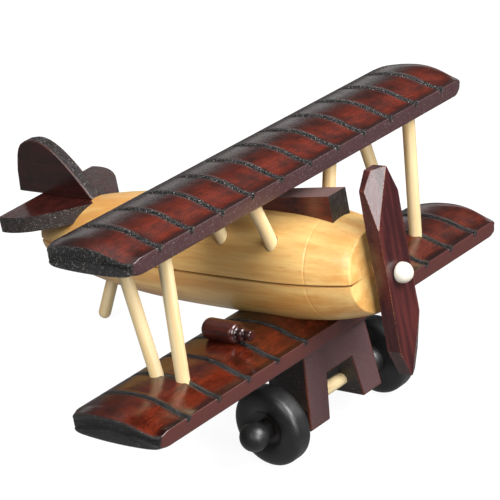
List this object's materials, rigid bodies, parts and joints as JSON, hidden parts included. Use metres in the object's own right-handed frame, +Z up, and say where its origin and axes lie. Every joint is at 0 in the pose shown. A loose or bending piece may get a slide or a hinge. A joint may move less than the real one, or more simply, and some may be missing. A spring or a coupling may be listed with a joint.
{
  "type": "propeller plane model",
  "caption": "Stained wooden biplane model: ribbed wings joined by dowel struts, a pale turned body, a spinning propeller, free-turning wheels and a tail skid.",
  "frame": {"origin": "on the ground under the middle of the plane's length and span", "axes": "+X forward along the ground towards the propeller, +Y to the plane's port side, +Z up; the plane rests on its wheels and tail skid, nose up"},
  "size_m": [0.1978, 0.1988, 0.114],
  "materials": {
    "stained_wood": "dark red-brown stain under gloss lacquer",
    "turned_wood": "pale wood, satin clear lacquer",
    "dowel_wood": "pale dowel, satin clear lacquer",
    "black_wood": "satin black paint on wood",
    "white_wood": "cream-white paint on wood"
  },
  "bodies": {
    "airframe": {"fuselage": "turned_wood", "upper_wing": "stained_wood", "lower_wing": "stained_wood", "cockpit_block": "stained_wood", "strut_front_port": "dowel_wood", "strut_front_starboard": "dowel_wood", "strut_rear_port": "dowel_wood", "strut_rear_starboard": "dowel_wood", "cabane_front_port": "dowel_wood", "cabane_front_starboard": "dowel_wood", "cabane_rear_port": "dowel_wood", "cabane_rear_starboard": "dowel_wood", "fin": "stained_wood", "tailplane": "stained_wood", "tail_skid": "dowel_wood", "gear_block": "stained_wood", "axle": "dowel_wood", "axle_ball_port": "black_wood", "axle_ball_starboard": "black_wood", "propeller_shaft": "dowel_wood", "spinner_cap": "white_wood", "gun_port": "stained_wood", "gun_starboard": "stained_wood", "wing_dowels": "dowel_wood", "gear_dowels": "dowel_wood", "fin_dowel": "dowel_wood", "cockpit_dowel": "dowel_wood", "gun_pegs": "dowel_wood"},
    "propeller": {"propeller": "stained_wood"},
    "wheel_port": {"wheel_port": "black_wood"},
    "wheel_starboard": {"wheel_starboard": "black_wood"}
  },
  "joints": [
    {"name": "propeller_spin", "type": "hinge", "parent": "airframe", "child": "propeller", "pos_m": [0.07937, 0, 0.07433], "axis": [0.965, 0, 0.2622], "continuous": true},
    {"name": "wheel_port_spin", "type": "hinge", "parent": "airframe", "child": "wheel_port", "pos_m": [0.05835, 0.0315, 0.0151], "axis": [0, 1, 0], "continuous": true},
    {"name": "wheel_starboard_spin", "type": "hinge", "parent": "airframe", "child": "wheel_starboard", "pos_m": [0.05835, -0.0315, 0.0151], "axis": [0, 1, 0], "continuous": true}
  ]
}
